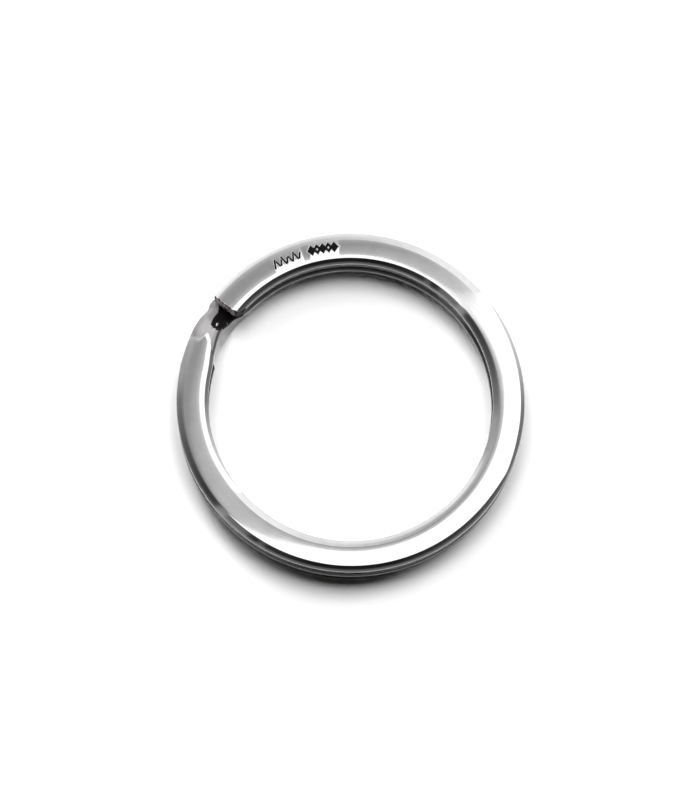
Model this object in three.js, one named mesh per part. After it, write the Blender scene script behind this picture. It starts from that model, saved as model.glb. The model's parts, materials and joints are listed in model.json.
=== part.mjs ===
// A split key ring: one flat wire wound twice round, lying flat on its lower turn.
// Millimetres and degrees, +Z up, origin at the ring's centre on the plane that it rests on.
//
// A place along the wire is its "turn": the degrees travelled clockwise, seen from above, from the
// upper free end. The upper coil comes first, then the crossover, where the wire steps down one
// wire height, then the lower coil, which ends under the upper one. The wire is one piece on the
// real ring. Here it is cut into the sections between which it flexes when an end is pried open.

import * as THREE from 'three';

// The wire and the ring.
const OUTER_RADIUS = 16;
const WIRE_WIDTH = 2.93;
const WIRE_HEIGHT = 1.8;
const LAYER_GAP = 0.08;
const EDGE_INSET = 0.62;
const EDGE_DROP = 0.27;
const EDGE_SEGMENTS = 3;

// The lower coil is wound a little tighter than the upper one, most of all on the +Y side.
const LOWER_TIGHTER = 0.15;

// The free ends, in degrees anticlockwise from +X.
const UPPER_END_AZIMUTH = 146.3;
const LOWER_END_AZIMUTH = 166;
const END_ROUNDING = 0.22;

// The crossover: the wire leaves the upper level on a gentle slope, then drops steeply to the
// lower one. Each corner of its side view has an azimuth and the half length of its soft bend.
// The gentle slope starts earlier towards the inner edge, which rounds the crest seen from above.
const CREST = { azimuth: 158.8, bend: 0.7 };
const BRINK = { azimuth: 155.9, bend: 1.0 };
const FOOT = { azimuth: 149.8, bend: 1.8 };
const GENTLE_DROP = 0.27;
const CREST_LEAD = 6.5;
const CREST_LEAD_POWER = 3.5;

// The inner edge of the wire's top is pulled in towards the outer one at the crossover. The
// underside's is not, so the inner side leans there.
const NECK_DEPTH = 0.85;
const NECK_START_AZIMUTH = 173;
const NECK_FULL_AZIMUTH = 152;
const NECK_LEAVE_AZIMUTH = 149;
const NECK_END_AZIMUTH = 140;

// The outer edge bulges out a little where the wire arrives at the lower level.
const BULGE = 0.3;
const BULGE_START_AZIMUTH = 153;
const BULGE_FULL_AZIMUTH = 147;
const BULGE_LEAVE_AZIMUTH = 140;
const BULGE_END_AZIMUTH = 132;

// Where the wire flexes, in degrees along it from the free end that opens.
const UPPER_FLEX = [60, 105, 150, 195, 240];
const LOWER_FLEX = [120, 180, 240];
const FLEX_GAP = 0.3;

// How finely the wire is faceted, in degrees, and where the free ends' rounding is cut.
const COIL_STEP = 5;
const CROSSOVER_STEP = 0.8;
const ROUNDING_CUTS = [0, 0.25, 0.6, 1];

const FULL_TURN = 360;
const MID_RADIUS = OUTER_RADIUS - WIRE_WIDTH / 2;
const LAYER_PITCH = WIRE_HEIGHT + LAYER_GAP;
const DEGREES_PER_MM = FULL_TURN / (2 * Math.PI * MID_RADIUS);
const LAST_TURN = UPPER_END_AZIMUTH - LOWER_END_AZIMUTH + 2 * FULL_TURN;
const CROSSOVER_START = crossoverTurn(CREST) - CREST_LEAD - CREST.bend;
const CROSSOVER_END = crossoverTurn(FOOT) + FOOT.bend;

// Rises smoothly from 0 at low to 1 at high.
function smooth(low, high, value) {
  return THREE.MathUtils.smoothstep(value, low, high);
}

// The turn of a corner of the crossover.
function crossoverTurn(corner) {
  return UPPER_END_AZIMUTH - corner.azimuth + FULL_TURN;
}

// 0 before a corner and the distance past it after, joined by a soft bend.
function pastCorner(distance, bend) {
  if (distance <= -bend) {
    return 0;
  }
  if (distance >= bend) {
    return distance;
  }
  return (distance + bend) ** 2 / (4 * bend);
}

// How far the wire has stepped down from the upper level, in millimetres.
// across runs from 0 at the inner edge to 1 at the outer edge.
function stepDown(turn, across) {
  const crest = crossoverTurn(CREST);
  const brink = crossoverTurn(BRINK);
  const foot = crossoverTurn(FOOT);
  const gentle = GENTLE_DROP / (brink - crest);
  const steep = (LAYER_PITCH - GENTLE_DROP) / (foot - brink);
  const lead = CREST_LEAD * Math.max(0, 1 - across) ** CREST_LEAD_POWER;
  const early = lead * (brink - turn) / (brink - crest + lead);
  const shift = Math.min(lead, Math.max(0, early));
  return gentle * pastCorner(turn - crest + shift, CREST.bend)
    + (steep - gentle) * pastCorner(turn - brink, BRINK.bend)
    - steep * pastCorner(turn - foot, FOOT.bend);
}

// How far the top's inner edge is pulled in at this turn, in millimetres.
function neck(turn) {
  const azimuth = UPPER_END_AZIMUTH - turn + FULL_TURN;
  const rise = smooth(-NECK_START_AZIMUTH, -NECK_FULL_AZIMUTH, -azimuth);
  const fall = smooth(NECK_END_AZIMUTH, NECK_LEAVE_AZIMUTH, azimuth);
  return NECK_DEPTH * rise * fall;
}

// How far the outer edge bulges out at this turn, in millimetres.
function bulge(turn) {
  const azimuth = UPPER_END_AZIMUTH - turn + FULL_TURN;
  const rise = smooth(-BULGE_START_AZIMUTH, -BULGE_FULL_AZIMUTH, -azimuth);
  const fall = smooth(BULGE_END_AZIMUTH, BULGE_LEAVE_AZIMUTH, azimuth);
  return BULGE * rise * fall;
}

// The wire's section: flat above and below, with drawn edges that turn down into straight sides.
// x runs outwards from the middle, y upwards.
function wireSection() {
  const section = new THREE.Shape();
  const corners = [[1, -1, -90], [1, 1, 0], [-1, 1, 90], [-1, -1, 180]];
  const points = [];
  for (const [sideX, sideY, startAngle] of corners) {
    for (let k = 0; k <= EDGE_SEGMENTS; k += 1) {
      const angle = THREE.MathUtils.degToRad(startAngle + 90 * k / EDGE_SEGMENTS);
      const x = sideX * (WIRE_WIDTH / 2 - EDGE_INSET) + EDGE_INSET * Math.cos(angle);
      const y = sideY * (WIRE_HEIGHT / 2 - EDGE_DROP) + EDGE_DROP * Math.sin(angle);
      points.push(new THREE.Vector2(x, y));
    }
  }
  section.setFromPoints(points);
  return section;
}

// Carries a point of the section, x outwards and y upwards, to its place on the ring.
function placeOnRing(x, y, turn) {
  const across = x / WIRE_WIDTH + 0.5;
  const nudge = 0.05;
  const drop = stepDown(turn, across);
  const dropRate = (stepDown(turn + nudge, across) - stepDown(turn - nudge, across)) / (2 * nudge);
  const slope = Math.atan(dropRate * DEGREES_PER_MM);
  const leanedTurn = turn + y * Math.sin(slope) * DEGREES_PER_MM;
  const azimuth = THREE.MathUtils.degToRad(UPPER_END_AZIMUTH - leanedTurn);
  const tighter = LOWER_TIGHTER * drop / LAYER_PITCH * (1 + Math.sin(azimuth)) / 2;
  const pulled = neck(turn) * (1 - across) * (0.5 + y / WIRE_HEIGHT);
  const radius = MID_RADIUS + x + pulled + bulge(turn) * across - tighter;
  const height = WIRE_HEIGHT / 2 + LAYER_PITCH - drop + y * Math.cos(slope);
  return new THREE.Vector3(radius * Math.cos(azimuth), radius * Math.sin(azimuth), height);
}

// How much the section shrinks near a free end, in millimetres on each side.
function endInset(turn) {
  const fromEnd = Math.min(turn, LAST_TURN - turn) / DEGREES_PER_MM;
  const depth = Math.max(0, 1 - fromEnd / END_ROUNDING);
  return END_ROUNDING * (1 - Math.sqrt(1 - depth * depth));
}

// The turns at which a section of the wire is cut into facets.
function stations(start, end) {
  const turns = new Set([start, end]);
  const count = Math.ceil((end - start) / COIL_STEP);
  for (let k = 1; k < count; k += 1) {
    turns.add(start + (end - start) * k / count);
  }
  for (let turn = CROSSOVER_START; turn <= CROSSOVER_END; turn += CROSSOVER_STEP) {
    turns.add(turn);
  }
  for (const cut of ROUNDING_CUTS) {
    turns.add(cut * END_ROUNDING * DEGREES_PER_MM);
    turns.add(LAST_TURN - cut * END_ROUNDING * DEGREES_PER_MM);
  }
  return [...turns].filter((turn) => turn >= start && turn <= end).sort((a, b) => a - b);
}

const SECTION = wireSection();

// One section of the wire, from one turn to another.
function wirePiece(name, start, end, material) {
  const turns = stations(start, end);
  const geometry = new THREE.ExtrudeGeometry(SECTION, {
    depth: 1,
    steps: turns.length - 1,
    bevelEnabled: false,
  });
  const position = geometry.getAttribute('position');
  for (let i = 0; i < position.count; i += 1) {
    const turn = turns[Math.round(position.getZ(i) * (turns.length - 1))];
    const inset = endInset(turn);
    const x = position.getX(i) * (1 - 2 * inset / WIRE_WIDTH);
    const y = position.getY(i) * (1 - 2 * inset / WIRE_HEIGHT);
    const placed = placeOnRing(x, y, turn);
    position.setXYZ(i, placed.x, placed.y, placed.z);
  }
  geometry.computeVertexNormals();
  const mesh = new THREE.Mesh(geometry, material);
  mesh.name = name;
  return mesh;
}

const POLISHED = { color: 0xd9dadc, roughness: 0.08, metalness: 1 };

// The cuts along the wire, from the upper free end to the lower one, and each section's name.
const CUTS = [...UPPER_FLEX, ...LOWER_FLEX.map((flex) => LAST_TURN - flex).reverse()];
const NAMES = [
  'upper_free_end',
  'upper_coil_1',
  'upper_coil_2',
  'upper_coil_3',
  'upper_coil_4',
  'crossover',
  'lower_coil_2',
  'lower_coil_1',
  'lower_free_end',
];

const ring = new THREE.Group();
const halfGap = FLEX_GAP / 2 * DEGREES_PER_MM;
NAMES.forEach((name, index) => {
  const start = index === 0 ? 0 : CUTS[index - 1] + halfGap;
  const end = index === NAMES.length - 1 ? LAST_TURN : CUTS[index] - halfGap;
  ring.add(wirePiece(name, start, end, new THREE.MeshStandardMaterial(POLISHED)));
});

export default ring;
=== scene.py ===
import json
import math

import bpy
import numpy as np
from mathutils import Matrix, Vector

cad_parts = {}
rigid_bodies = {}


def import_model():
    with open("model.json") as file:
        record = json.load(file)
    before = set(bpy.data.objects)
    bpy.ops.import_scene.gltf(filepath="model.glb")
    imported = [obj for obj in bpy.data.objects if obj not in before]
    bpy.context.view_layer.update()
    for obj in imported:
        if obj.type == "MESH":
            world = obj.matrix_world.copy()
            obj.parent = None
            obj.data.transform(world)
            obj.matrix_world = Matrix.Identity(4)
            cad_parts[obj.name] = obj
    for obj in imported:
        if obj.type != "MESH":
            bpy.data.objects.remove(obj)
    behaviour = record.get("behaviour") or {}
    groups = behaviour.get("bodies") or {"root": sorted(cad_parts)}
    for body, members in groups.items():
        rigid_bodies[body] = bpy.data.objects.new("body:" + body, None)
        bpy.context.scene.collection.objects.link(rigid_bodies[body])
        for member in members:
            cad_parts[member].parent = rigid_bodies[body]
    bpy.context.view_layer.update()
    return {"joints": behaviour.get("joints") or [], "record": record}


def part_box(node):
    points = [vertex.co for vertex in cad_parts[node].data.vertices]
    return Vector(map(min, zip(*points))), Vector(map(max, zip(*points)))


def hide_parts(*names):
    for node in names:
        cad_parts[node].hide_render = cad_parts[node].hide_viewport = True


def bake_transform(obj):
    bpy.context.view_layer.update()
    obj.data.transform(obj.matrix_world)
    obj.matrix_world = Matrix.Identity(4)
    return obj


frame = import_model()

# ---------------------------------------------------------------- the ring's dimensions, in metres
MM = 0.001
lower_box = [Vector(corner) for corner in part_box("lower_coil_1")]
upper_box = [Vector(corner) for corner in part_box("upper_coil_2")]

OUTER_RADIUS = 16.0 * MM
WIRE_WIDTH = 2.93 * MM
WIRE_HEIGHT = lower_box[1].z - lower_box[0].z
LAYER_PITCH = upper_box[0].z - lower_box[0].z
MID_RADIUS = OUTER_RADIUS - WIRE_WIDTH / 2

# Places along the wire are "turns": degrees travelled clockwise from the upper free end.
UPPER_END_AZIMUTH = 146.3
LOWER_END_AZIMUTH = 166.0
LAST_TURN = UPPER_END_AZIMUTH - LOWER_END_AZIMUTH + 720
DEGREES_PER_METRE = 180 / (math.pi * MID_RADIUS)


def crossover_turn(azimuth):
    return UPPER_END_AZIMUTH - azimuth + 360


# The crossover's side view: a gentle slope from the crest to the brink, then a steep one to the
# foot. Each corner has a place along the wire and the half length of its soft bend, in degrees.
CREST, CREST_BEND = crossover_turn(158.8), 0.7
BRINK, BRINK_BEND = crossover_turn(155.9), 1.0
FOOT, FOOT_BEND = crossover_turn(149.8), 1.8
GENTLE_DROP = 0.27 * MM
# The gentle slope starts this much earlier at the inner edge.
CREST_LEAD = 6.5
CREST_LEAD_POWER = 3.5
# The inner edge of the wire's top is pulled in towards the outer one at the crossover. The
# underside's is not. Past it the outer edge bulges out a little.
NECK_DEPTH = 0.85 * MM
NECK_AZIMUTHS = (173.0, 152.0, 149.0, 140.0)
BULGE = 0.30 * MM
BULGE_AZIMUTHS = (153.0, 147.0, 140.0, 132.0)
# The lower coil is wound a little tighter than the upper one, most of all on the +Y side.
LOWER_TIGHTER = 0.15 * MM
# The upper coil springs up a very little towards its free end, in two long easy bends (turns).
SPRING_UP = 0.022 * MM
SPRING_BENDS = [(80.0, 132.0), (245.0, 297.0)]

# The section's drawn edges: how far they reach in across the wire and down its side. Each ends in
# a tight shoulder. The sides lean in a little, and the faces are crowned, most of all at the edge.
EDGE_INSET = 0.65 * MM
EDGE_DROP = 0.20 * MM
SHOULDER_RADIUS = 0.11 * MM
SIDE_LEAN = math.radians(3)
CROWN = 0.012 * MM
CROWN_EDGE = 0.034 * MM

# The free ends: the bevel round the cut, and the rounding of the inner corner seen from above.
END_BEVEL = 0.06 * MM
CORNER_RADIUS = 0.75 * MM
CORNER_REACH = 5.0
# The sheared ends are a little ragged: waves across the wire, with their rates, phases and
# weights, that die away quickly along it.
RAGGED_CUT = 0.022 * MM
RAGGED_POWER = 12
RAGGED_WAVES = [(13300, 0.4, 1.0), (31700, 1.9, 0.7)]

# The stamped marks near the upper free end: a row of slanted strokes and a row of lozenges. Each
# row has the turns of its ends; the strokes' middle line and half height are measured across.
STROKE_ROW = (22.9, 33.6)
LOZENGE_ROW = (36.6, 46.9)
STROKE_COUNT = 9
LOZENGE_COUNT = 5
MARK_MIDDLE = 0.13 * MM
MARK_HALF_HEIGHT = 0.36 * MM
MARK_LINE = 0.078 * MM
MARK_DEPTH = 0.07 * MM
MARK_SOFT = 0.02 * MM
MARKS_REACH = 2.0
# Every third stroke is a long one. The others have this share of its height, and stand lower.
SHORT_STROKE = 0.62
SHORT_STROKE_LOWER = 0.22
STROKE_SLANT = 0.35
# The lozenges stand a little towards the outer side. Their lines and dots are bolder than the
# strokes, by these shares of a stroke's line.
LOZENGE_SHIFT = 0.04 * MM
LOZENGE_SHAPE = 0.56
LOZENGE_BOLDER = 0.25
DOT_BOLDER = 0.8
# The metal round a row is pushed up into a very low mound, and a fine burr stands at each mark.
MOUND = 0.0062 * MM
MOUND_REACH = 1.6
BURR = 0.003 * MM
BURR_REACH = 0.05 * MM

# The notch where the wire dives under the free end is painted black as shade: where its torn edge
# runs, as turns at places across the wire, in millimetres from the inner side to the outer one. It
# reaches down the sides by NOTCH_DOWN millimetres.
NOTCH_ACROSS = [-1.46, -1.30, -0.66, -0.38, -0.06, 0.14, 0.20, 0.30, 1.05]
NOTCH_TURNS = [351.0, 349.9, 349.5, 349.5, 350.3, 352.0, 355.5, 359.1, 361.2]
NOTCH_END = 363.5
NOTCH_DOWN = 0.50
# Painted black shade lies along the upper free end's burr too, this many millimetres along the
# wire, and further at its inner corner. The lower free end has less of it.
CUT_SHADE = 0.10
CORNER_SHADE = 0.9
CORNER_SHADE_FADE = (1.30, 1.44)
LOWER_CUT_SHADE = 0.03
# The upper end's cut face is painted black as shade at the inner corner, between these distances
# from the middle.
CUT_CORNER_FADE = (0.7 * MM, 1.25 * MM)
CUT_CORNER_TURNS = 180.0
# Polished burrs stand in the notch: turn, place across and size in millimetres. Their height is
# a share of their size.
NOTCH_BURRS = [(350.8, -0.80, 0.12), (354.3, -1.36, 0.10)]
BURR_HEIGHT = 0.6
BURR_EDGE = 6
BURR_BRIGHT = (0.9, 1.3)

# The sides keep the drawn wire's dull skin, darkened further by painted shade for the shadowed
# floor they mirror. It begins between these depths below the top.
SIDE_FADE = (0.20 * MM, 0.34 * MM)
# The inner sides get this share of the dull skin and its painted shade.
INNER_SIDE_SHADE = 0.88
# On the lower coil the same dark is painted on the drawn edges too, as shade under the upper coil,
# and the groove between the turns gets painted shade on the outer side. Both come in over these
# turns past the crossover.
LOWER_COIL_FADE = (FOOT + 2, FOOT + 20)
LOWER_EDGE_SHADE = 0.80
LOWER_EDGE_FADE = (1 / 3, 0.44)
GROOVE_SHADE = 0.6
# A painted dark line of shade follows the inner edge of the crossover's top, between these depths
# below it.
CREASE_SHADE = 1.7
CREASE_DEPTHS = (0.10 * MM, 0.17 * MM, 0.25 * MM, 0.36 * MM)
CREASE_TURNS = (CREST - 8, CREST - 3, FOOT + 1, FOOT + 6)
# The crossover's slope is satin, with more of the drawn skin left along its outer edge.
SLOPE_END_FADE = (FOOT + 4, FOOT + 10)
# It begins this far, in turns, after the crest's bend at the inner side, and before that at the
# outer one, where it also comes in over twice the way.
SLOPE_OUTER_FADE = (0.38, 0.66)
SLOPE_AFTER = 0.5
SLOPE_BEFORE = 4.5
SLOPE_FADE = 2.2
SLOPE_EDGE_DULL = 0.55
SLOPE_EDGE_FADE = (0.68, 0.92)

# How finely the wire is drawn, in degrees along it and in points round its section.
COIL_STEP = 0.6
CROSSOVER_STEP = 0.12
CORNER_STEP = 0.25
MARK_STEP = 0.07
MARK_MARGIN = 0.6
BEVEL_CUTS = 7
EDGE_POINTS = 12
SHOULDER_POINTS = 8
FACE_POINTS = 48
SIDE_POINTS = 5


# ---------------------------------------------------------------- camera
CAMERA_ELEVATION = 76.4
CAMERA_DISTANCE = 38.8 * OUTER_RADIUS
CAMERA_ROLL = 4.52
CAMERA_LENS = 302.7
FRAME_OFFSET = (0.0, 0.97 * MM)


def make_camera():
    elevation = math.radians(CAMERA_ELEVATION)
    roll = math.radians(CAMERA_ROLL)
    back = Vector((0, -math.cos(elevation), math.sin(elevation)))
    across = Vector((1, 0, 0))
    upward = Vector((0, math.sin(elevation), math.cos(elevation)))
    cam_x = across * math.cos(roll) + upward * math.sin(roll)
    cam_y = upward * math.cos(roll) - across * math.sin(roll)
    target = cam_x * FRAME_OFFSET[0] + cam_y * FRAME_OFFSET[1]
    place = target + back * CAMERA_DISTANCE
    data = bpy.data.cameras.new("camera")
    data.lens = CAMERA_LENS
    data.sensor_width = 36
    data.clip_start = 0.01
    data.clip_end = 20
    camera = bpy.data.objects.new("camera", data)
    rotation = Matrix((cam_x, cam_y, back)).transposed().to_4x4()
    camera.matrix_world = Matrix.Translation(place) @ rotation
    bpy.context.scene.collection.objects.link(camera)
    bpy.context.scene.camera = camera


make_camera()


# ---------------------------------------------------------------- shader node helpers
def node(tree, kind, **values):
    made = tree.nodes.new(kind)
    for key, value in values.items():
        setattr(made, key, value)
    return made


def wire_up(tree, source, socket):
    """Link a socket, or set a plain value, into another socket."""
    if isinstance(source, bpy.types.NodeSocket):
        tree.links.new(source, socket)
    else:
        socket.default_value = source


def math_node(tree, operation, a, b=0.0, c=0.0, clamp=False):
    made = node(tree, "ShaderNodeMath", operation=operation, use_clamp=clamp)
    for socket, value in zip(made.inputs, (a, b, c)):
        wire_up(tree, value, socket)
    return made.outputs[0]


def range_node(tree, kind, given):
    """Carry a value from one range to another; given holds the value and the two ranges."""
    made = node(tree, "ShaderNodeMapRange", interpolation_type=kind)
    for socket, value in zip(made.inputs, given):
        wire_up(tree, value, socket)
    return made.outputs[0]


def smooth_node(tree, value, low, high, out_low=0.0, out_high=1.0):
    return range_node(tree, "SMOOTHSTEP", (value, low, high, out_low, out_high))


def linear_node(tree, value, low, high, out_low=0.0, out_high=1.0):
    return range_node(tree, "LINEAR", (value, low, high, out_low, out_high))


def mix_node(tree, kind, factor, a, b):
    made = node(tree, "ShaderNodeMix", data_type=kind)
    wire_up(tree, factor, made.inputs["Factor"])
    wire_up(tree, a, made.inputs["A"])
    wire_up(tree, b, made.inputs["B"])
    return made.outputs["Result"]


def mix_float(tree, factor, a, b):
    return mix_node(tree, "FLOAT", factor, a, b)


def mix_colour(tree, factor, a, b):
    return mix_node(tree, "RGBA", factor, a, b)


# ---------------------------------------------------------------- materials
# Each finish runs between two colours.
POLISH = ((0.88, 0.88, 0.886, 1), (0.965, 0.965, 0.965, 1))
# The sides' colour: the drawn wire's duller skin, darkened further as painted shade.
DRAWN_SKIN_AND_SHADE = ((0.12, 0.118, 0.118, 1), (0.30, 0.295, 0.295, 1))
# Painted shade in the groove between the turns and along the crease.
GROOVE_SHADE_COLOUR = (0.03, 0.029, 0.029, 1)
SCUFFS = ((0.265, 0.255, 0.258, 1), (0.485, 0.472, 0.476, 1))
# Black: oxide in the stamped marks, and painted shade in the notch and at the cut ends.
OXIDE_AND_SHADE = ((0.0012, 0.0011, 0.0011, 1), (0.010, 0.0085, 0.009, 1))
SHEARED = ((0.12, 0.10, 0.107, 1), (0.86, 0.75, 0.78, 1))
# Painted shade at the inner corner of the upper end's cut face.
CORNER_SHADE_COLOUR = (0.006, 0.005, 0.005, 1)
# How often the textures repeat in a metre: along the wire and round it, or by x, y and z.
SCRATCHES = (160, 5200, 1)
DIE_LINES = (260, 14000, 1)
SHEAR_LINES = (5200, 5200, 900)
HAZE = 450.0
MOTTLE = 1500.0
TORN = 4200.0
SHEAR_GRAIN = 14000.0
GRAIN = 16000.0
# How strong the fine relief of each is beside the scratches', and how ragged a torn edge is.
DIE_LINE_RELIEF = 4.0
GRAIN_RELIEF = 12.0
TORN_EDGE = 0.14
TORN_CORNER = 0.15
SATIN_METAL = 0.45


def new_material(name):
    material = bpy.data.materials.new(name)
    material.use_nodes = True
    tree = material.node_tree
    return material, tree, tree.nodes["Principled BSDF"]


def add_bump(tree, shader, height, strength, distance):
    bump = node(tree, "ShaderNodeBump")
    bump.inputs["Strength"].default_value = strength
    bump.inputs["Distance"].default_value = distance
    tree.links.new(height, bump.inputs["Height"])
    tree.links.new(bump.outputs[0], shader.inputs["Normal"])


def attribute_value(tree, name):
    return node(tree, "ShaderNodeAttribute", attribute_name=name).outputs["Fac"]


def noise_node(tree, vector, scale, detail):
    made = node(tree, "ShaderNodeTexNoise")
    made.inputs["Scale"].default_value = scale
    made.inputs["Detail"].default_value = detail
    tree.links.new(vector, made.inputs["Vector"])
    return made.outputs[0]


def stretched(tree, vector, scale):
    made = node(tree, "ShaderNodeMapping")
    made.inputs["Scale"].default_value = scale
    tree.links.new(vector, made.inputs["Vector"])
    return made.outputs[0]


def polished_wire_material():
    """Polished faces, duller drawn sides darkened further as painted shade, black oxide in the
    stamped marks, and painted black shade in the notch, the groove and the crease.
    """
    material, tree, shader = new_material("polished_wire")
    along = node(tree, "ShaderNodeUVMap", uv_map="along_wire").outputs[0]
    place = node(tree, "ShaderNodeTexCoord").outputs["Object"]

    # Fine wear scratches drawn out along the wire, and broad handling haze.
    streaks = noise_node(tree, stretched(tree, along, SCRATCHES), 1.0, 4.0)
    haze = noise_node(tree, place, HAZE, 3.0)
    grain = noise_node(tree, place, GRAIN, 3.0)
    rough = math_node(tree, "ADD", linear_node(tree, streaks, 0.35, 0.75, 0.018, 0.04),
                      linear_node(tree, haze, 0.35, 0.7, 0.0, 0.02))
    mottle = noise_node(tree, place, MOTTLE, 3.0)
    cloud = math_node(tree, "ADD", math_node(tree, "MULTIPLY", haze, 0.5),
                      math_node(tree, "MULTIPLY", mottle, 0.5))
    polish = mix_colour(tree, linear_node(tree, cloud, 0.3, 0.7), *POLISH)

    # The sides keep the dull skin of the drawn wire, with die lines along it; their dark colour is
    # partly painted shade.
    side = attribute_value(tree, "side")
    skin_and_shade = math_node(tree, "MINIMUM", side, 1.0)
    die_lines = noise_node(tree, stretched(tree, along, DIE_LINES), 1.0, 3.0)
    skin_and_shade_colour = mix_colour(tree, die_lines, *DRAWN_SKIN_AND_SHADE)
    rough = mix_float(tree, skin_and_shade, rough, linear_node(tree, die_lines, 0.3, 0.7, 0.10, 0.24))

    # The crossover's slope is satin, scuffed where the free end slides over it.
    slope = attribute_value(tree, "slope")
    scuffs = mix_colour(tree, die_lines, *SCUFFS)
    face = mix_colour(tree, smooth_node(tree, slope, 0.10, 0.68), polish, scuffs)
    rough = mix_float(tree, slope, rough, linear_node(tree, mottle, 0.3, 0.7, 0.36, 0.46))
    colour = mix_colour(tree, skin_and_shade, face, skin_and_shade_colour)

    # Painted shade in the groove and along the crease, where side goes past 1.
    groove = math_node(tree, "SUBTRACT", side, 1.0, clamp=True)
    colour = mix_colour(tree, groove, colour, GROOVE_SHADE_COLOUR)

    # Black: oxide by the depth of a mark, and painted shade by how far inside the notch's torn edge
    # a place lies.
    tears = noise_node(tree, place, TORN, 4.0)
    torn = math_node(tree, "ADD", attribute_value(tree, "notch"),
                     linear_node(tree, tears, 0.2, 0.8, -TORN_EDGE, TORN_EDGE))
    in_notch = smooth_node(tree, torn, -0.03, 0.05)
    in_mark = smooth_node(tree, attribute_value(tree, "mark"), 0.30, 0.75)
    oxide_and_shade = math_node(tree, "MAXIMUM", in_notch, in_mark)
    black = mix_colour(tree, grain, *OXIDE_AND_SHADE)
    colour = mix_colour(tree, oxide_and_shade, colour, black)
    rough = mix_float(tree, oxide_and_shade, rough, linear_node(tree, grain, 0.3, 0.7, 0.45, 0.75))
    tree.links.new(colour, shader.inputs["Base Color"])
    tree.links.new(rough, shader.inputs["Roughness"])
    shader.inputs["Specular IOR Level"].default_value = 0.08
    satin = linear_node(tree, slope, 0.0, 1.0, 1.0, SATIN_METAL)
    tree.links.new(math_node(tree, "MULTIPLY", satin, math_node(tree, "SUBTRACT", 1.0, oxide_and_shade)),
                   shader.inputs["Metallic"])

    die_relief = math_node(tree, "MULTIPLY", die_lines, DIE_LINE_RELIEF)
    grain_relief = math_node(tree, "MULTIPLY", grain, GRAIN_RELIEF)
    relief = mix_float(tree, oxide_and_shade, mix_float(tree, side, streaks, die_relief), grain_relief)
    add_bump(tree, shader, relief, 0.06, 0.004 * MM)
    return material


def cut_end_material():
    """The sheared ends: dull, faintly pink-grey metal with the shear's marks down it, and painted
    black shade at the upper end's inner corner.
    """
    material, tree, shader = new_material("cut_end")
    place = node(tree, "ShaderNodeTexCoord").outputs["Object"]
    shear = noise_node(tree, stretched(tree, place, SHEAR_LINES), 1.0, 3.0)
    grain = noise_node(tree, place, SHEAR_GRAIN, 3.0)
    tone = math_node(tree, "MULTIPLY", shear, grain)
    colour = mix_colour(tree, linear_node(tree, tone, 0.12, 0.38), *SHEARED)
    # Painted black shade at the inner corner of the upper end's cut.
    torn = math_node(tree, "ADD", attribute_value(tree, "corner"),
                     linear_node(tree, grain, 0.2, 0.8, -TORN_CORNER, TORN_CORNER))
    colour = mix_colour(tree, smooth_node(tree, torn, 0.35, 0.6), colour, CORNER_SHADE_COLOUR)
    tree.links.new(colour, shader.inputs["Base Color"])
    tree.links.new(linear_node(tree, grain, 0.3, 0.7, 0.42, 0.66), shader.inputs["Roughness"])
    shader.inputs["Metallic"].default_value = 0.35
    shader.inputs["Specular IOR Level"].default_value = 0.2
    add_bump(tree, shader, shear, 0.5, 0.02 * MM)
    return material


def plain_floor_material():
    material, _, shader = new_material("pale_floor")
    shader.inputs["Base Color"].default_value = (0.93, 0.93, 0.93, 1)
    shader.inputs["Roughness"].default_value = 0.9
    shader.inputs["Specular IOR Level"].default_value = 0.0
    return material


# ---------------------------------------------------------------- the wire's shape
def smooth(low, high, value):
    t = np.clip((value - low) / (high - low), 0, 1)
    return t * t * (3 - 2 * t)


def rise_and_fall(fades, value):
    """0, then up to 1 between the first two places, and back to 0 between the last two."""
    return smooth(fades[0], fades[1], value) * (1 - smooth(fades[2], fades[3], value))


def past_corner(distance, bend):
    """0 before a corner and the distance past it after, joined by a soft bend."""
    curve = np.clip(distance + bend, 0, None) ** 2 / (4 * bend)
    return np.where(distance >= bend, distance, curve)


def crest_lead(across):
    """How much earlier the gentle slope starts, in degrees, at a place across the wire."""
    return CREST_LEAD * np.clip(1 - across, 0, None) ** CREST_LEAD_POWER


def step_down(turn, across):
    """How far the wire has stepped down; across is 0 at the inner edge, 1 at the outer."""
    gentle = GENTLE_DROP / (BRINK - CREST)
    steep = (LAYER_PITCH - GENTLE_DROP) / (FOOT - BRINK)
    lead = crest_lead(across)
    early = lead * (BRINK - turn) / (BRINK - CREST + lead)
    shift = np.clip(early, 0, lead)
    return (gentle * past_corner(turn - CREST + shift, CREST_BEND)
            + (steep - gentle) * past_corner(turn - BRINK, BRINK_BEND)
            - steep * past_corner(turn - FOOT, FOOT_BEND))


def swell(turn, azimuths):
    """Rises to 1 and falls back to 0 along the crossover, between four azimuths."""
    start, full, leave, end = azimuths
    azimuth = UPPER_END_AZIMUTH - turn + 360
    return smooth(-start, -full, -azimuth) * smooth(end, leave, azimuth)


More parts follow.
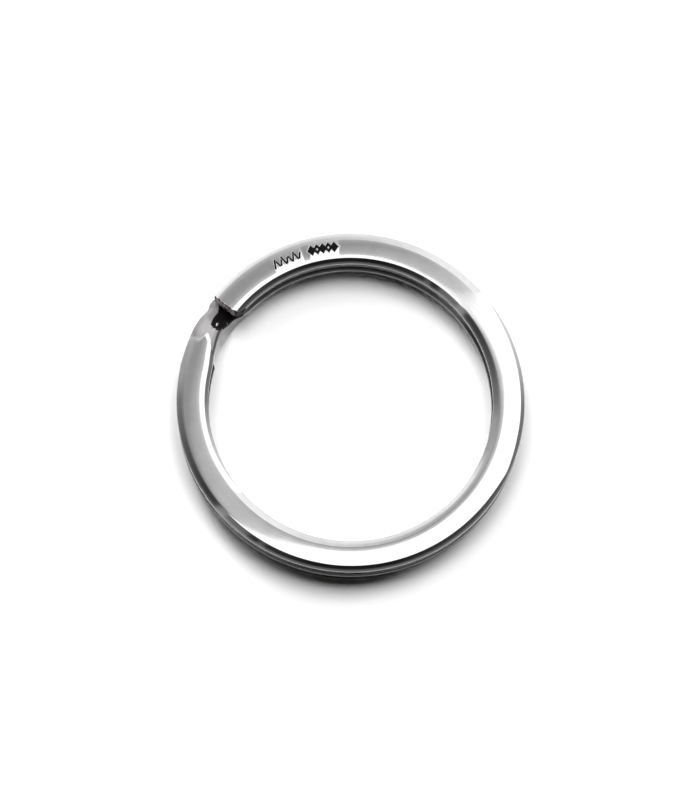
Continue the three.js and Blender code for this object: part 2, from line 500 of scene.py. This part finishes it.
def place_on_ring(x, y, turn):
    """Carry points of the section, x outwards and y upwards, to their places on the ring."""
    across = x / WIRE_WIDTH + 0.5
    drop = step_down(turn, across)
    facing = np.sin(np.radians(UPPER_END_AZIMUTH - turn))
    tighter = LOWER_TIGHTER * drop / LAYER_PITCH * (1 + facing) / 2
    neck = NECK_DEPTH * swell(turn, NECK_AZIMUTHS) * (1 - across) * (0.5 + y / WIRE_HEIGHT)
    bulge = BULGE * swell(turn, BULGE_AZIMUTHS) * across
    radius = MID_RADIUS + x + neck + bulge - tighter
    nudge = 0.02
    rate = (step_down(turn + nudge, across) - step_down(turn - nudge, across)) / (2 * nudge)
    slope = np.arctan(rate * DEGREES_PER_METRE)
    azimuth = np.radians(UPPER_END_AZIMUTH - turn - y * np.sin(slope) * DEGREES_PER_METRE)
    level = WIRE_HEIGHT / 2 + LAYER_PITCH - drop
    sprung = sum(SPRING_UP * (1 - smooth(start, end, turn)) for start, end in SPRING_BENDS)
    height = lower_box[0].z + level + y * np.cos(slope) + sprung
    return np.stack([radius * np.cos(azimuth), radius * np.sin(azimuth), height], axis=-1)


def edge_profile():
    """The drawn edge from the flat outwards: a shallow curve, then a tight shoulder that turns
    down into the side. Returns the distances out from the flat and down from it."""
    end_angle = math.atan(2 * EDGE_DROP / EDGE_INSET)
    curve = np.linspace(0, 1, EDGE_POINTS)
    run = EDGE_INSET - SHOULDER_RADIUS * (1 - math.sin(end_angle))
    angles = np.linspace(end_angle, math.pi / 2, SHOULDER_POINTS + 1)[1:]
    shoulder_out = run + SHOULDER_RADIUS * (np.sin(angles) - math.sin(end_angle))
    shoulder_down = EDGE_DROP + SHOULDER_RADIUS * (math.cos(end_angle) - np.cos(angles))
    out = np.concatenate([run * curve, shoulder_out])
    down = np.concatenate([EDGE_DROP * curve ** 2, shoulder_down])
    return out, down


def section_points():
    """The section's top from the inner side to the outer one."""
    half_width, half_height = WIRE_WIDTH / 2, WIRE_HEIGHT / 2
    out, down = edge_profile()
    flat = half_width - EDGE_INSET
    face = np.linspace(-flat, flat, FACE_POINTS)
    x = np.concatenate([-flat - out[::-1], face[1:-1], flat + out])
    y = half_height - np.concatenate([down[::-1], np.zeros(FACE_POINTS - 2), down])
    level = x / half_width
    return x, y - CROWN * level ** 2 - CROWN_EDGE * level ** 4


def section_loop():
    """The closed section: over the top from the inner side, down, and back underneath."""
    top_x, top_y = section_points()
    side_y = np.linspace(top_y[-1], -top_y[-1], SIDE_POINTS + 2)[1:-1]
    x = np.concatenate([top_x, np.full(SIDE_POINTS, top_x[-1]), top_x[::-1],
                        np.full(SIDE_POINTS, top_x[0])])
    y = np.concatenate([top_y, side_y, -top_y[::-1], side_y[::-1]])
    lean = np.clip(top_y[-1] - y, 0, None) * math.tan(SIDE_LEAN)
    return x - np.sign(x) * lean * (np.abs(x) / (WIRE_WIDTH / 2)) ** 4, y


def stations(start, end):
    """The turns at which a piece is drawn: closer together on the crossover, at the free ends
    and on the marks."""
    count = math.ceil((end - start) / COIL_STEP)
    turns = set(np.linspace(start, end, count + 1))
    crossover_start = CREST - CREST_LEAD - 2 * CREST_BEND
    turns.update(np.arange(crossover_start, FOOT + 2 * FOOT_BEND, CROSSOVER_STEP))
    bevel = 1 - np.cos(np.linspace(0, math.pi / 2, BEVEL_CUTS))
    corner = np.arange(2 * CORNER_STEP, CORNER_REACH, CORNER_STEP)
    near_end = np.concatenate([bevel * END_BEVEL * DEGREES_PER_METRE, corner])
    turns.update(near_end)
    turns.update(LAST_TURN - near_end)
    turns.update(np.arange(STROKE_ROW[0] - MARK_MARGIN, LOZENGE_ROW[1] + MARK_MARGIN, MARK_STEP))
    return np.array(sorted(turn for turn in turns if start <= turn <= end))


def end_inset(turn):
    """How far the section shrinks towards its middle at the bevel of a free end."""
    depth = min(turn, LAST_TURN - turn) / (END_BEVEL * DEGREES_PER_METRE)
    return END_BEVEL * (1 - math.sqrt(max(0.0, 1 - max(0.0, 1 - depth) ** 2)))


def corner_pull(x, turn):
    """How far, in degrees, the rounded inner corner of a free end draws back along the wire."""
    to_corner = np.clip((-WIRE_WIDTH / 2 + CORNER_RADIUS - x) / CORNER_RADIUS, 0, 1)
    pull = CORNER_RADIUS * (1 - np.sqrt(1 - to_corner ** 2)) * DEGREES_PER_METRE
    fade_start = max(0.0, 1 - turn / CORNER_REACH)
    fade_last = max(0.0, 1 - (LAST_TURN - turn) / CORNER_REACH)
    waves = sum(weight * np.sin(rate * x + phase) for rate, phase, weight in RAGGED_WAVES)
    near_cut = fade_start ** RAGGED_POWER - fade_last ** RAGGED_POWER
    return pull * (fade_start - fade_last) + RAGGED_CUT * waves * DEGREES_PER_METRE * near_cut


# ---------------------------------------------------------------- stamped marks and the notch
def row_places(turn, row):
    """Distances along a row of marks from its start, and the row's length, in metres."""
    return (turn - row[0]) / DEGREES_PER_METRE, (row[1] - row[0]) / DEGREES_PER_METRE


def stroke_distance(turn, x):
    """Distance to the nearest slanted stroke; every third one is long."""
    along, length = row_places(turn, STROKE_ROW)
    pitch = length / STROKE_COUNT
    best = np.full_like(x, 1.0)
    for index in range(STROKE_COUNT):
        tall = index % 3 == 0
        half = MARK_HALF_HEIGHT if tall else SHORT_STROKE * MARK_HALF_HEIGHT
        middle = MARK_MIDDLE - (0.0 if tall else SHORT_STROKE_LOWER * MARK_HALF_HEIGHT)
        slant = STROKE_SLANT if index % 2 == 0 else -STROKE_SLANT
        up = np.clip(x - middle, -half, half)
        off = along - (index + 0.5) * pitch - slant * up
        best = np.minimum(best, np.hypot(off, x - middle - up))
    return best - MARK_LINE


def lozenge_distance(turn, x):
    """Distance to the outlines of a chain of lozenges, with a dot in every second one."""
    along, length = row_places(turn, LOZENGE_ROW)
    pitch = length / LOZENGE_COUNT
    best = np.full_like(x, 1.0)
    for index in range(LOZENGE_COUNT):
        off = along - (index + 0.5) * pitch
        up = (x - MARK_MIDDLE - LOZENGE_SHIFT) * (LOZENGE_SHAPE * pitch / MARK_HALF_HEIGHT)
        outline = np.abs(np.abs(off) + np.abs(up) - 0.5 * pitch) / math.sqrt(2)
        best = np.minimum(best, outline - LOZENGE_BOLDER * MARK_LINE)
        if index % 2 == 0:
            best = np.minimum(best, np.hypot(off, up) - DOT_BOLDER * MARK_LINE)
    return best - MARK_LINE


def marks(turn, x):
    """How deep a mark is pressed, from 0 to 1, and how far the metal round it is pushed up."""
    if not STROKE_ROW[0] - MARKS_REACH < turn < LOZENGE_ROW[1] + MARKS_REACH:
        return np.zeros_like(x), np.zeros_like(x)
    away = np.minimum(stroke_distance(turn, x), lozenge_distance(turn, x))
    pressed = 1 - smooth(-MARK_SOFT, MARK_SOFT, away)
    pushed = BURR * np.exp(-(np.clip(away, 0, None) / BURR_REACH) ** 2)
    level = (x - MARK_MIDDLE) / MARK_HALF_HEIGHT
    for row in (STROKE_ROW, LOZENGE_ROW):
        ends = (row[0] - 0.9, row[0] + 0.3, row[1] - 0.3, row[1] + 0.9)
        across = np.exp(-np.abs(level / MOUND_REACH) ** 3)
        pushed = pushed + MOUND * rise_and_fall(ends, turn) * across
    return pressed, pushed


def millimetres_between(turn, other):
    """The way along the wire from one turn to another, in millimetres."""
    return (other - turn) / DEGREES_PER_METRE / MM


def from_burr(turn, x, burr):
    """How far a place is from a burr of the notch, as a share of the burr's size."""
    at, across, size = burr
    return np.hypot(millimetres_between(at, turn), x / MM - across) / size


def notch_burr(turn, x):
    """How far the burrs of the notch stand up."""
    lift = np.zeros_like(x)
    for burr in NOTCH_BURRS:
        lift = lift + BURR_HEIGHT * burr[2] * MM * np.exp(-2 * from_burr(turn, x, burr) ** 2)
    return lift


def notch_depth(turn, x, y):
    """How far inside the painted shade of the notch and of the cut ends a place lies, in
    millimetres; negative outside it.
    """
    edge = np.interp(x / MM, NOTCH_ACROSS, NOTCH_TURNS)
    inside = np.minimum(millimetres_between(edge, turn), millimetres_between(turn, NOTCH_END))
    inside = np.minimum(inside, NOTCH_DOWN - (WIRE_HEIGHT / 2 - y) / MM)
    for burr in NOTCH_BURRS:
        past_burr = (from_burr(turn, x, burr) - 1) * burr[2] * BURR_EDGE
        inside = np.where(y > 0, np.minimum(inside, past_burr), inside)
    # Painted black shade reaches this far from each cut, further at the inner corner.
    shade_reach = CUT_SHADE + CORNER_SHADE * smooth(*CORNER_SHADE_FADE, -x / MM)
    at_cut = np.maximum(shade_reach - millimetres_between(0, turn),
                        LOWER_CUT_SHADE - millimetres_between(turn, LAST_TURN))
    return np.clip(np.maximum(inside, at_cut), -1, 1)


# ---------------------------------------------------------------- satin, dull skin and painted shade
def satin_slope(turn, x):
    """How satin the crossover's slope is: from before the crest at the outer edge, and from
    behind the crest's bright line nearer to the inner one. The notch's burrs stay bright."""
    across = x / WIRE_WIDTH + 0.5
    outer = smooth(*SLOPE_OUTER_FADE, across)
    begin = CREST - CREST_BEND - crest_lead(across) + SLOPE_AFTER - SLOPE_BEFORE * outer
    satin = smooth(begin, begin + SLOPE_FADE * (1 + outer), turn)
    satin = satin * (1 - smooth(*SLOPE_END_FADE, turn))
    for burr in NOTCH_BURRS:
        satin = satin * smooth(*BURR_BRIGHT, from_burr(turn, x, burr))
    return satin


def shaded_skin_and_crease(loop_x, loop_y):
    """Round the section, how much dull skin and painted shade the sides get, and where the crease's
    painted shade runs.
    """
    below_top = WIRE_HEIGHT / 2 - np.abs(loop_y)
    skin_and_shade = smooth(*SIDE_FADE, below_top) * np.where(loop_x < 0, INNER_SIDE_SHADE, 1.0)
    crease = rise_and_fall(CREASE_DEPTHS, below_top)
    return skin_and_shade, np.where((loop_x < 0) & (loop_y > 0), crease, 0)


def skin_and_shade_row(turn, x, skin_and_shade, crease, satin, on_top):
    """How dark the wire is at one turn: up to 1 for the drawn skin and painted shade, and past 1 for
    the painted shade in the groove and along the crease.
    """
    lower = smooth(*LOWER_COIL_FADE, turn)
    # Painted shade on the lower coil's drawn edges, under the upper coil.
    lower_edge = LOWER_EDGE_SHADE * lower * smooth(*LOWER_EDGE_FADE, np.abs(x) / WIRE_WIDTH)
    slope_edge = SLOPE_EDGE_DULL * satin * smooth(*SLOPE_EDGE_FADE, x / WIRE_WIDTH + 0.5)
    on_face = np.where(on_top, np.maximum(lower_edge, slope_edge), 0)
    # Painted shade in the groove on the outer side of the lower coil.
    in_groove = skin_and_shade * (1 + GROOVE_SHADE * lower * (x > 0))
    # Painted dark line of shade along the crease.
    creased = CREASE_SHADE * rise_and_fall(CREASE_TURNS, turn) * crease
    return np.maximum(np.maximum(in_groove, creased), on_face)


# ---------------------------------------------------------------- a length of the wire as a mesh
def wire_rows(turns, loop_x, loop_y):
    """The points of every row of the mesh, and the values painted on them."""
    on_top = np.arange(len(loop_x)) < top_count(len(loop_x))
    skin_and_shade, crease = shaded_skin_and_crease(loop_x, loop_y)
    rows = []
    painted = {"mark": [], "notch": [], "side": [], "slope": [], "corner": []}
    for turn in turns:
        inset = end_inset(turn)
        pressed, pushed = marks(turn, loop_x)
        lift = pushed - MARK_DEPTH * pressed + notch_burr(turn, loop_x)
        x = loop_x * (1 - 2 * inset / WIRE_WIDTH)
        y = (loop_y + np.where(on_top, lift, 0)) * (1 - 2 * inset / WIRE_HEIGHT)
        rows.append(place_on_ring(x, y, turn + corner_pull(x, turn)))
        satin = np.where(on_top, satin_slope(turn, loop_x), 0)
        upper_end = 1.0 if turn < CUT_CORNER_TURNS else 0.0
        painted["mark"].append(np.where(on_top, pressed, 0))
        # How far into the painted shade of the notch and the cut ends.
        painted["notch"].append(notch_depth(turn, loop_x, loop_y))
        painted["side"].append(skin_and_shade_row(turn, loop_x, skin_and_shade, crease, satin, on_top))
        painted["slope"].append(satin)
        # Where the upper cut face gets painted black shade at its inner corner.
        painted["corner"].append(upper_end * smooth(*CUT_CORNER_FADE, -loop_x))
    return np.concatenate(rows), painted


def wire_piece(name, start, end, materials):
    """One length of the wire as a closed mesh."""
    turns = stations(start, end)
    loop_x, loop_y = section_loop()
    size = len(loop_x)
    last_row = (len(turns) - 1) * size
    vertices, painted = wire_rows(turns, loop_x, loop_y)
    faces = side_faces(len(turns), size)
    caps = end_caps(size, last_row)
    mesh = bpy.data.meshes.new(name)
    mesh.from_pydata(vertices.tolist(), [], faces.tolist() + caps)
    for material in materials:
        mesh.materials.append(material)
    draw_along_wire(mesh, turns, loop_x, loop_y, faces)
    for label, values in painted.items():
        layer = mesh.attributes.new(label, "FLOAT", "POINT")
        layer.data.foreach_set("value", np.concatenate(values).astype(np.float32))
    mesh.polygons.foreach_set("use_smooth", [True] * len(faces) + [False] * len(caps))
    mesh.polygons.foreach_set("material_index", [0] * len(faces) + [1] * len(caps))
    edge_ends = np.zeros(len(mesh.edges) * 2, dtype=np.int32)
    mesh.edges.foreach_get("vertices", edge_ends)
    edge_ends = edge_ends.reshape(-1, 2)
    sharp = (edge_ends.max(axis=1) < size) | (edge_ends.min(axis=1) >= last_row)
    mesh.attributes.new("sharp_edge", "BOOLEAN", "EDGE").data.foreach_set("value", sharp)
    mesh.update()
    piece = bpy.data.objects.new(name, mesh)
    bpy.context.scene.collection.objects.link(piece)
    return piece


def top_count(size):
    """How many of a row's points are on the top; as many are underneath."""
    return (size - 2 * SIDE_POINTS) // 2


def side_faces(rows, size):
    """Quads between neighbouring rows, each row a closed loop of points."""
    k = np.arange(size)
    after = (k + 1) % size
    near = np.arange(rows - 1)[:, None] * size
    far = near + size
    return np.stack([near + k, near + after, far + after, far + k], axis=-1).reshape(-1, 4)


def end_caps(size, last_row):
    """Faces that close both ends: strips between matching points of the top and the underside."""
    count = top_count(size)
    bottom_start = count + SIDE_POINTS
    outer_side = list(range(count, count + SIDE_POINTS))
    inner_side = list(range(bottom_start + count, size))
    strips = []
    for k in range(count - 1):
        below = bottom_start + count - 1 - k
        strips.append([k, k + 1, below - 1, below])
    strips[0] = [0, 1, bottom_start + count - 2, bottom_start + count - 1] + inner_side
    strips[-1] = [count - 2, count - 1] + outer_side + [bottom_start, bottom_start + 1]
    caps = [tuple(reversed(strip)) for strip in strips]
    caps += [tuple(last_row + k for k in strip) for strip in strips]
    return caps


def draw_along_wire(mesh, turns, loop_x, loop_y, faces):
    """A UV map in metres: along the wire, and round its section."""
    step = np.hypot(np.diff(loop_x, append=loop_x[0]), np.diff(loop_y, append=loop_y[0]))
    round_section = np.concatenate([[0], np.cumsum(step)])
    size = len(loop_x)
    row = (faces // size).ravel()
    k = faces % size
    k[:, 1] = np.where(k[:, 1] == 0, size, k[:, 1])
    k[:, 2] = np.where(k[:, 2] == 0, size, k[:, 2])
    uv = np.zeros((len(mesh.loops), 2))
    uv[:len(row), 0] = turns[row] / DEGREES_PER_METRE
    uv[:len(row), 1] = round_section[k.ravel()]
    layer = mesh.uv_layers.new(name="along_wire")
    layer.data.foreach_set("uv", uv.ravel())


# ---------------------------------------------------------------- pieces between flexing places
SECTIONS = ["upper_free_end", "upper_coil_1", "upper_coil_2", "upper_coil_3", "upper_coil_4",
            "crossover", "lower_coil_2", "lower_coil_1", "lower_free_end"]


def joint_turn(joint, upper):
    """Where a joint's place lies along the wire."""
    azimuth = math.degrees(math.atan2(joint["pos_m"][1], joint["pos_m"][0]))
    turn = (UPPER_END_AZIMUTH - azimuth) % 360
    return turn if upper else turn + 360


def joint_between(first_body, second_body):
    for joint in frame["joints"]:
        if {joint["parent"], joint["child"]} == {first_body, second_body}:
            return joint
    raise ValueError("no joint between " + first_body + " and " + second_body)


def body_of_node(name):
    for body, nodes in frame["record"]["behaviour"]["bodies"].items():
        if name in nodes:
            return body
    raise ValueError("no body holds " + name)


# The first joints are on the upper coil. The length with the crossover ends at this turn, well
# past the crossover.
UPPER_JOINTS = 5
SEAM_PAST_CROSSOVER = 385.0


def make_ring():
    materials = [polished_wire_material(), cut_end_material()]
    bodies = [body_of_node(name) for name in SECTIONS]
    joints = [joint_between(a, b) for a, b in zip(bodies, bodies[1:])]
    turns = [joint_turn(joint, index < UPPER_JOINTS) for index, joint in enumerate(joints)]
    middles = [(a + b) / 2 for a, b in zip(turns, turns[1:])]
    middles[UPPER_JOINTS - 1] = SEAM_PAST_CROSSOVER
    cuts = [0.0] + middles + [LAST_TURN]
    for index, (start, end) in enumerate(zip(cuts, cuts[1:])):
        piece = wire_piece("wire_length_%d" % (index + 1), start, end, materials)
        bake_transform(piece)
        if index == 0:
            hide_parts(SECTIONS[0])
        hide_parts(SECTIONS[index + 1])


make_ring()


# ---------------------------------------------------------------- floor and light
FLOOR_REACH = 3.0
LIGHT_DISTANCE = 0.9
# The panels that light the floor: the way towards each, its two sizes in metres and its radiance.
LIGHTS = [
    ("panel_above", (0, 0.165, 0.986), (0.55, 0.145), 10.5),
    ("panel_behind", (0, 0.39, 0.921), (0.63, 0.31), 8.9),
    ("window_left", (-0.42, 0.66, 0.63), (0.26, 0.41), 10.5),
    ("high_left", (-0.66, 0.36, 0.66), (0.30, 0.30), 3.0),
    ("window_right", (0.82, 0.48, 0.30), (0.28, 0.60), 7.6),
    ("low_right", (0.66, 0.72, 0.21), (0.23, 0.40), 11.0),
]


def make_floor():
    far = FLOOR_REACH
    mesh = bpy.data.meshes.new("floor")
    corners = [(-far, -far, 0), (far, -far, 0), (far, far, 0), (-far, far, 0)]
    mesh.from_pydata(corners, [], [(0, 1, 2, 3)])
    mesh.materials.append(plain_floor_material())
    floor = bpy.data.objects.new("floor", mesh)
    bpy.context.scene.collection.objects.link(floor)


def area_light(name, towards, size, radiance):
    """A soft panel of even brightness that lights the floor; the polish sees the world instead."""
    data = bpy.data.lights.new(name, "AREA")
    data.shape = "RECTANGLE"
    data.size, data.size_y = size
    data.energy = radiance * math.pi * size[0] * size[1]
    light = bpy.data.objects.new(name, data)
    light.location = Vector(towards).normalized() * LIGHT_DISTANCE
    light.rotation_euler = Vector(towards).to_track_quat("Z", "Y").to_euler()
    light.visible_camera = False
    light.visible_glossy = False
    bpy.context.scene.collection.objects.link(light)


# What the polish reflects, placed by x and y of the direction seen. The ring's flat faces see the
# panel's left edge, which runs through this point behind the zenith.
MIRROR_Y = 0.229
PANEL_EDGE_SLANT = (0.713, -0.701)
PANEL_EDGE_SOFT = (-0.0014, 0.0034)
PANEL_WHITE = 1.25
# The panel's front edge leans forward to the left. Its right edge stands nearer further behind.
PANEL_FRONT_EDGE = (-0.08, -0.03)
PANEL_FRONT_SLANT = 0.65
PANEL_RIGHT_TURNS = (-0.10, 0.15)
PANEL_RIGHT = 0.80
PANEL_RIGHT_BEHIND = 0.62
PANEL_RIGHT_SOFT = (0.04, 0.06)
# The wall behind the panel's left edge: close to the edge from one place and level to another,
# and further from it by angle, in degrees from the right.
NEAR_WALL = (-0.026, 0.0, 0.31, 0.60)
FAR_WALL_FADE = (0.03, 0.13)
WALL_BEHIND = [(0, 0.95), (65, 0.92), (79, 0.78), (95, 0.66), (110, 0.54), (124, 0.44),
               (140, 0.41), (155, 0.45), (169, 0.38), (180, 0.25), (200, 0.16)]
# Where, by angle, the wall is bright low down, and how bright.
LOW_WALL = [(70, 0), (92, 0.8), (105, 0.75), (125, 0.9), (140, 1), (152, 0.9), (164, 0)]
LOW_WALL_FADE = (0.38, 0.84)
LOW_WALL_LEVEL = 0.95
# The room in front and to the right, from the left round past the front, with a small window.
ROOM_IN_FRONT = [(160, 0.40), (176, 0.34), (184, 0.18), (199, 0.09), (214, 0.045), (222, 0.045),
                 (224, 0.24), (226.5, 0.24), (228, 0.15), (236, 0.13), (238, 0.03), (241, 0.03),
                 (242.5, 0.12), (244, 0.03), (262, 0.010), (290, 0.012), (305, 0.03), (320, 0.05),
                 (335, 0.09), (350, 0.15), (364, 0.20), (379, 0.52), (390, 0.72), (402, 0.78),
                 (440, 0.78)]
# The room glows faintly low down.
LOW_ROOM_GLOW = 0.12
LOW_ROOM_FADE = (0.85, 1.10)
WHOLE_TURN = 2 * math.pi
WALL_START = -math.pi / 2
ROOM_START = 0.75 * math.pi


def ramp_node(tree, value, stops):
    """A grey level read from a few stops, each a place from 0 to 1 and a level."""
    made = node(tree, "ShaderNodeValToRGB")
    wire_up(tree, value, made.inputs[0])
    elements = made.color_ramp.elements
    elements.remove(elements[1])
    elements[0].position = stops[0][0]
    for place, level in stops:
        element = elements[0] if place == stops[0][0] else elements.new(place)
        element.color = (level, level, level, 1)
    return made.outputs[0]


def level_round(tree, angle, start, stops):
    """A grey level read round a whole turn from start, from stops given in degrees."""
    turned = math_node(tree, "WRAP", angle, start + WHOLE_TURN, start)
    place = math_node(tree, "DIVIDE", math_node(tree, "SUBTRACT", turned, start), WHOLE_TURN)
    shares = [((math.radians(at) - start) / WHOLE_TURN, level) for at, level in stops]
    return ramp_node(tree, place, shares)


def studio_world():
    """A broad white panel overhead and to the right, a grey wall to the left and behind, and the
    dark side of the room in front."""
    world = bpy.data.worlds.new("studio")
    world.use_nodes = True
    tree = world.node_tree
    direction = node(tree, "ShaderNodeTexCoord").outputs["Generated"]
    split = node(tree, "ShaderNodeSeparateXYZ")
    tree.links.new(direction, split.inputs[0])
    x, y = split.outputs[0], split.outputs[1]
    behind = math_node(tree, "SUBTRACT", y, MIRROR_Y)
    past_edge = math_node(tree, "ADD", math_node(tree, "MULTIPLY", x, PANEL_EDGE_SLANT[0]),
                          math_node(tree, "MULTIPLY", behind, PANEL_EDGE_SLANT[1]))
    white = smooth_node(tree, past_edge, *PANEL_EDGE_SOFT)

    # The wall, near the panel's edge and further round by angle from the right.
    angle = math_node(tree, "ARCTAN2", behind, x)
    away = math_node(tree, "SQRT", math_node(tree, "ADD", math_node(tree, "MULTIPLY", x, x),
                                             math_node(tree, "MULTIPLY", behind, behind)))
    near_wall = linear_node(tree, past_edge, *NEAR_WALL)
    far_wall = level_round(tree, angle, WALL_START, WALL_BEHIND)
    wall = mix_float(tree, smooth_node(tree, away, *FAR_WALL_FADE), near_wall, far_wall)
    low = math_node(tree, "MULTIPLY", smooth_node(tree, away, *LOW_WALL_FADE),
                    level_round(tree, angle, WALL_START, LOW_WALL))
    wall = mix_float(tree, low, wall, LOW_WALL_LEVEL)
    lit = mix_float(tree, white, wall, PANEL_WHITE)

    # The panel's front and right edges, and the dark room beyond them.
    left = math_node(tree, "MAXIMUM", math_node(tree, "MULTIPLY", x, -PANEL_FRONT_SLANT), 0.0)
    over_front = smooth_node(tree, math_node(tree, "SUBTRACT", y, left), *PANEL_FRONT_EDGE)
    far_right = linear_node(tree, y, *PANEL_RIGHT_TURNS, PANEL_RIGHT, PANEL_RIGHT_BEHIND)
    right = smooth_node(tree, x, math_node(tree, "SUBTRACT", far_right, PANEL_RIGHT_SOFT[0]),
                        math_node(tree, "ADD", far_right, PANEL_RIGHT_SOFT[1]))
    glow = smooth_node(tree, away, *LOW_ROOM_FADE, 0.0, LOW_ROOM_GLOW)
    room = math_node(tree, "ADD", level_round(tree, angle, ROOM_START, ROOM_IN_FRONT), glow)
    shade = mix_float(tree, over_front, room, mix_float(tree, right, lit, room))
    background = tree.nodes["Background"]
    tree.links.new(shade, background.inputs["Strength"])
    background.inputs["Color"].default_value = (1, 1, 1, 1)
    bpy.context.scene.world = world
    world.cycles_visibility.diffuse = False


make_floor()
studio_world()
for light in LIGHTS:
    area_light(*light)
bpy.context.scene.view_settings.view_transform = "Standard"
